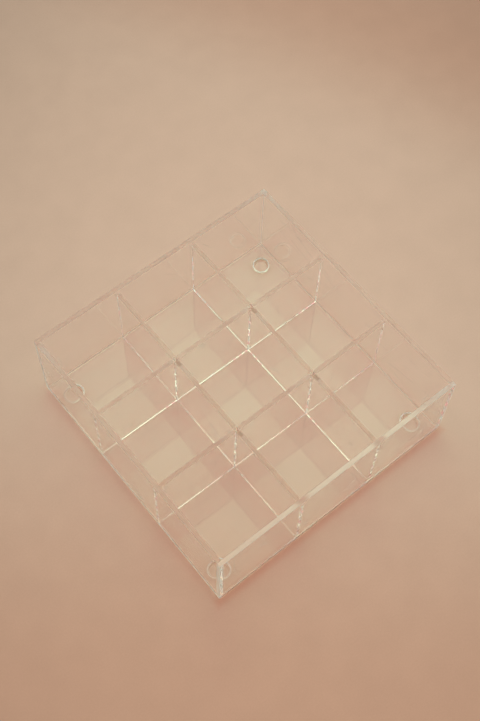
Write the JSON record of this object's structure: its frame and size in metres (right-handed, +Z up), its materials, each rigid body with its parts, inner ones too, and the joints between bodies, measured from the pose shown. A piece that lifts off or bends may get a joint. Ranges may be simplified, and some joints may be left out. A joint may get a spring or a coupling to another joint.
{
  "type": "acrylic drawer organizer",
  "caption": "Clear open-top square tray of cemented acrylic sheet, with cross-lapped dividers that form a grid of square compartments, on small round bumper feet.",
  "frame": {"origin": "middle of the footprint, on the surface that the feet stand on", "axes": "+Z up, +X along the front wall towards the right wall, +Y from the front wall towards the back wall"},
  "size_m": [0.18, 0.18, 0.0661],
  "materials": {
    "clear_acrylic": "colourless clear cast acrylic sheet, polished faces, cut edges polished and lightly eased",
    "clear_bumper": "clear soft polyurethane, slightly hazy"
  },
  "bodies": {
    "root": {"base_plate": "clear_acrylic", "front_wall": "clear_acrylic", "back_wall": "clear_acrylic", "left_wall": "clear_acrylic", "right_wall": "clear_acrylic", "column_divider_1": "clear_acrylic", "column_divider_2": "clear_acrylic", "row_divider_1": "clear_acrylic", "row_divider_2": "clear_acrylic", "foot_front_left": "clear_bumper", "foot_front_right": "clear_bumper", "foot_back_left": "clear_bumper", "foot_back_right": "clear_bumper"}
  },
  "joints": []
}
